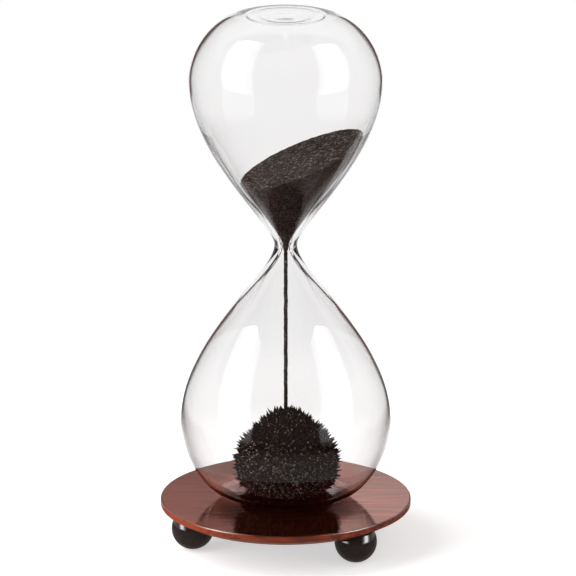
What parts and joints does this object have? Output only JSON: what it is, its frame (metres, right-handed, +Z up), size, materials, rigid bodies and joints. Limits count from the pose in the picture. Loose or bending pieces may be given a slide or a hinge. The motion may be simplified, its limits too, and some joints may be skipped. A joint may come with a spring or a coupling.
{
  "type": "magnetic hourglass",
  "caption": "Blown-glass timer filled with iron filings, standing loose on a lacquered wooden disc with ball feet and a magnet beneath, so the fallen filings heap up in spikes.",
  "frame": {"origin": "on the table, under the middle of the stand's disc and on the axis of the glass", "axes": "+Z up along the axis of the glass, +X to the right and -Y to the front as the picture shows it"},
  "size_m": [0.074, 0.074, 0.16],
  "materials": {
    "red_brown_lacquer": "red-brown stained wood under high-gloss lacquer",
    "ferrite": "ground grey ferrite",
    "black_lacquer": "turned wood under gloss black lacquer",
    "dowel_beech": "bare beech",
    "clear_glass": "clear blown glass",
    "iron_filings": "loose black-brown iron filings"
  },
  "bodies": {
    "stand": {"base_disc": "red_brown_lacquer", "magnet": "ferrite", "foot_left": "black_lacquer", "foot_right": "black_lacquer", "foot_back": "black_lacquer", "dowel_left": "dowel_beech", "dowel_right": "dowel_beech", "dowel_back": "dowel_beech"},
    "hourglass": {"glass_vessel": "clear_glass", "upper_filings": "iron_filings", "falling_stream": "iron_filings", "lower_mound": "iron_filings"}
  },
  "joints": [
    {"name": "glass_lift", "type": "slide", "parent": "stand", "child": "hourglass", "axis": [0, 0, 1], "range_m": [0, 0.16]}
  ]
}
